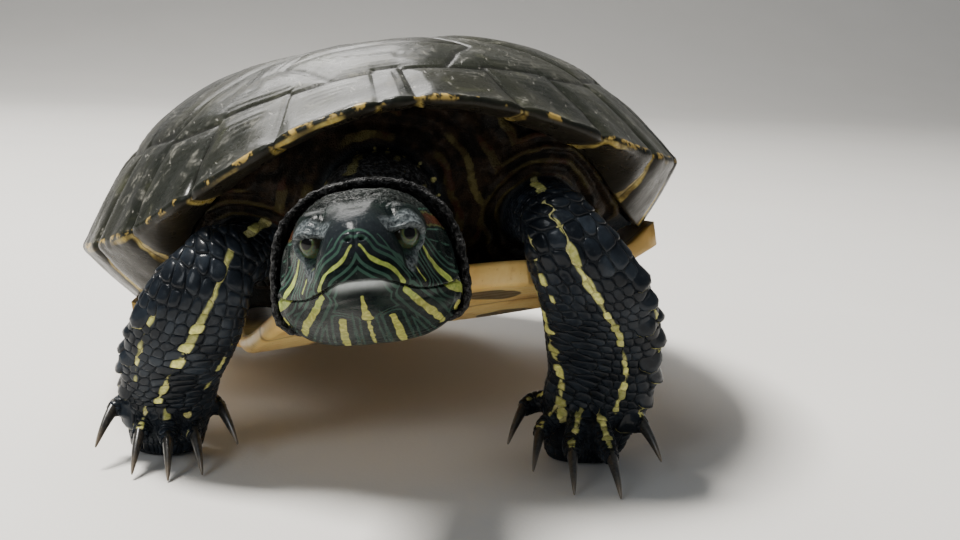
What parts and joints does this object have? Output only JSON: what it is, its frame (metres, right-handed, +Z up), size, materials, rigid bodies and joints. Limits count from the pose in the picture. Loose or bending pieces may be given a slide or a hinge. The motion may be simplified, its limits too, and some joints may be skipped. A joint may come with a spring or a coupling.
{
  "type": "red-eared slider turtle",
  "caption": "Life-size red-eared slider turtle standing on clawed feet, neck stretched forward, head turned a little to its right, low domed shell tipped to one side.",
  "frame": {"origin": "on the floor, under the middle of the whole animal's box", "axes": "-Y the way the animal faces, +X its left side, +Z up"},
  "size_m": [0.2023, 0.3124, 0.1117],
  "materials": {
    "shell": "worn horny plates, glossy dark olive-brown",
    "plastron": "smooth horny plates, ochre yellow",
    "skin": "scaly blue-black skin with pale yellow stripes",
    "eye": "wet and glossy",
    "claw": "satin horn"
  },
  "bodies": {
    "root": {"carapace": "shell", "plastron": "plastron", "trunk": "skin", "neck": "skin", "head": "skin", "lower_jaw": "skin", "eye_left": "eye", "eye_right": "eye", "tail": "skin", "fore_left_upper": "skin", "fore_left_lower": "skin", "fore_left_foot": "skin", "fore_left_claw_1": "claw", "fore_left_claw_2": "claw", "fore_left_claw_3": "claw", "fore_left_claw_4": "claw", "fore_left_claw_5": "claw", "fore_right_upper": "skin", "fore_right_lower": "skin", "fore_right_foot": "skin", "fore_right_claw_1": "claw", "fore_right_claw_2": "claw", "fore_right_claw_3": "claw", "fore_right_claw_4": "claw", "fore_right_claw_5": "claw", "hind_left_upper": "skin", "hind_left_lower": "skin", "hind_left_foot": "skin", "hind_left_claw_1": "claw", "hind_left_claw_2": "claw", "hind_left_claw_3": "claw", "hind_left_claw_4": "claw", "hind_right_upper": "skin", "hind_right_lower": "skin", "hind_right_foot": "skin", "hind_right_claw_1": "claw", "hind_right_claw_2": "claw", "hind_right_claw_3": "claw", "hind_right_claw_4": "claw"}
  },
  "joints": []
}
